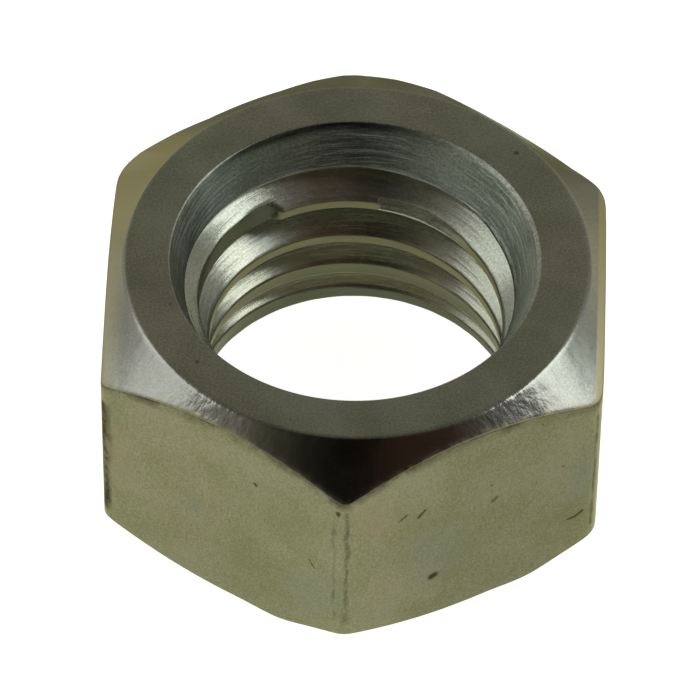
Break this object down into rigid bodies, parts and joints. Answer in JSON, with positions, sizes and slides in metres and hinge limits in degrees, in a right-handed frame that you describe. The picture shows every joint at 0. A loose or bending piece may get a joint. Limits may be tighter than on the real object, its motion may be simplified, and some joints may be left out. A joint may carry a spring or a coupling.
{
  "type": "hex nut",
  "caption": "Coarse thread hexagon nut in zinc plated steel, chamfered on both ends, with a steep countersink at the top of its threaded bore and a bell mouth at the bottom.",
  "frame": {"origin": "centre of the bore in the plane of the bottom face, which is what the nut stands on", "axes": "+Z along the bore out of the top face; two corners lie on the Y axis, and two side faces are square to X"},
  "size_m": [0.014, 0.016, 0.0076],
  "materials": {
    "zinc_plated_steel": "clear zinc plate, satin, with a faint yellow-green tint"
  },
  "bodies": {
    "root": {"nut": "zinc_plated_steel"}
  },
  "joints": []
}
